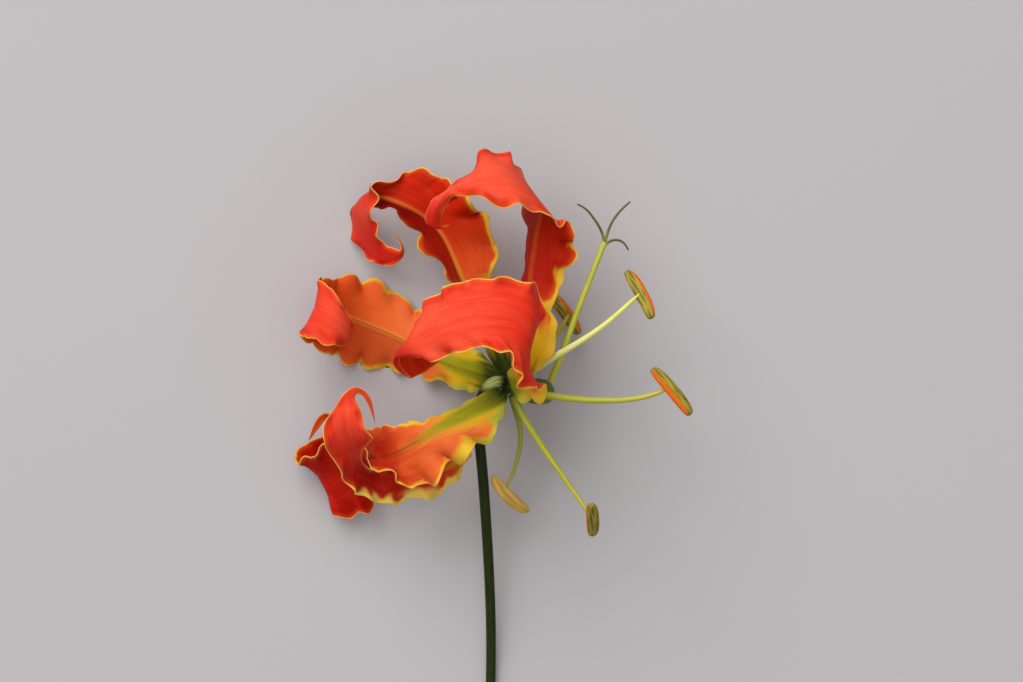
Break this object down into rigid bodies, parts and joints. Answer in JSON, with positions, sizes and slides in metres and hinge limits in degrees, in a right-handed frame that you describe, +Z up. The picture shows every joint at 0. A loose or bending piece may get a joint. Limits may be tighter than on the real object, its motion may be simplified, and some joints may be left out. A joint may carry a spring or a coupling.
{
  "type": "flame lily",
  "caption": "Cut flame lily bloom lying on its side: reflexed crisp-edged tepals, long stamens, a bent style and a curved green stalk.",
  "frame": {"origin": "middle of the bounding box's bottom face, on the table the flower lies on", "axes": "+Z up from the table; +Y from the cut end of the stalk to the top of the bloom, the longest extent; +X the way the bloom faces, towards the stamens"},
  "size_m": [0.0803, 0.1284, 0.0443],
  "materials": {
    "tepal_red_yellow": "satin",
    "filament_green": "satin",
    "anther_ochre": "matte",
    "pistil_green": "satin",
    "stalk_green": "satin"
  },
  "bodies": {
    "root": {"stalk": "stalk_green", "tepal_upper_left": "tepal_red_yellow", "tepal_upper_right": "tepal_red_yellow", "tepal_front": "tepal_red_yellow", "tepal_left": "tepal_red_yellow", "tepal_lower_near": "tepal_red_yellow", "tepal_lower_far": "tepal_red_yellow", "filament_right": "filament_green", "filament_upper_right": "filament_green", "filament_far_right": "filament_green", "filament_lower_left": "filament_green", "filament_lower_right": "filament_green", "filament_far": "filament_green", "anther_right": "anther_ochre", "anther_upper_right": "anther_ochre", "anther_far_right": "anther_ochre", "anther_lower_left": "anther_ochre", "anther_lower_right": "anther_ochre", "anther_far": "anther_ochre", "pistil": "pistil_green"}
  },
  "joints": []
}
